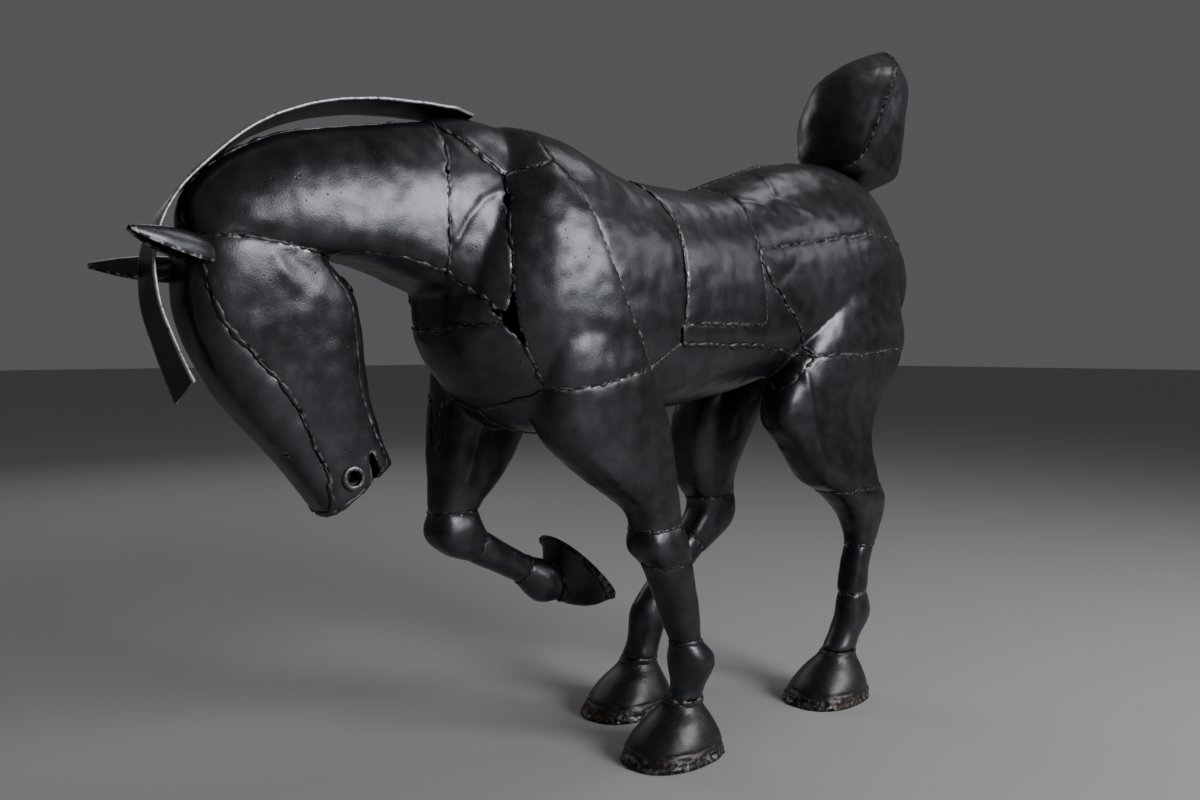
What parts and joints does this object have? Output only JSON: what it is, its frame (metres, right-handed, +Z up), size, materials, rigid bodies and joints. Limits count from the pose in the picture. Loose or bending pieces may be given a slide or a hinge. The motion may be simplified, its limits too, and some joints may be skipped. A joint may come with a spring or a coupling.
{
  "type": "scrap metal horse sculpture",
  "caption": "Prancing horse sculpture welded from formed sheet steel plates, painted satin black, with a curved flat bar mane, an upright tail and one foreleg raised.",
  "frame": {"origin": "on the floor, at the middle of the sculpture's bounding box", "axes": "+Z up, -X the way the horse faces, -Y to the horse's left"},
  "size_m": [1.4824, 0.3265, 1.197],
  "materials": {
    "black_paint": "satin black paint over hammered sheet steel",
    "hoof_steel": "rough satin black paint, scuffed and a little rusty at the bottom",
    "bare_edge_steel": "satin black paint worn to bright steel on the edges"
  },
  "bodies": {
    "root": {"belly_band_left": "black_paint", "belly_band_right": "black_paint", "belly_plate": "black_paint", "chest_plate": "black_paint", "croup_left": "black_paint", "croup_right": "black_paint", "ear_left": "black_paint", "ear_right": "black_paint", "flank_plate_left": "black_paint", "flank_plate_right": "black_paint", "haunch_left": "black_paint", "haunch_right": "black_paint", "head_cheek_left": "black_paint", "head_cheek_right": "black_paint", "head_face_plate": "black_paint", "head_jaw_plate": "black_paint", "head_muzzle_plate": "black_paint", "left_fore_cannon": "black_paint", "left_fore_fetlock": "black_paint", "left_fore_hoof": "hoof_steel", "left_fore_knee": "black_paint", "left_fore_upper": "black_paint", "left_hind_cannon": "black_paint", "left_hind_fetlock": "black_paint", "left_hind_hock": "black_paint", "left_hind_hoof": "hoof_steel", "left_hind_upper": "black_paint", "mane_strip": "bare_edge_steel", "neck_side_left": "black_paint", "neck_side_right": "black_paint", "neck_throat_plate": "black_paint", "nostril_ring_left": "bare_edge_steel", "nostril_ring_right": "bare_edge_steel", "rib_plate_left": "black_paint", "rib_plate_right": "black_paint", "right_fore_cannon": "black_paint", "right_fore_fetlock": "black_paint", "right_fore_hoof": "hoof_steel", "right_fore_knee": "black_paint", "right_fore_upper": "black_paint", "right_hind_cannon": "black_paint", "right_hind_fetlock": "black_paint", "right_hind_hock": "black_paint", "right_hind_hoof": "hoof_steel", "right_hind_upper": "black_paint", "shoulder_blade_left": "black_paint", "shoulder_blade_right": "black_paint", "shoulder_front_left": "black_paint", "shoulder_front_right": "black_paint", "tail_front": "black_paint", "tail_left": "black_paint", "tail_right": "black_paint", "withers_plate": "black_paint"}
  },
  "joints": []
}
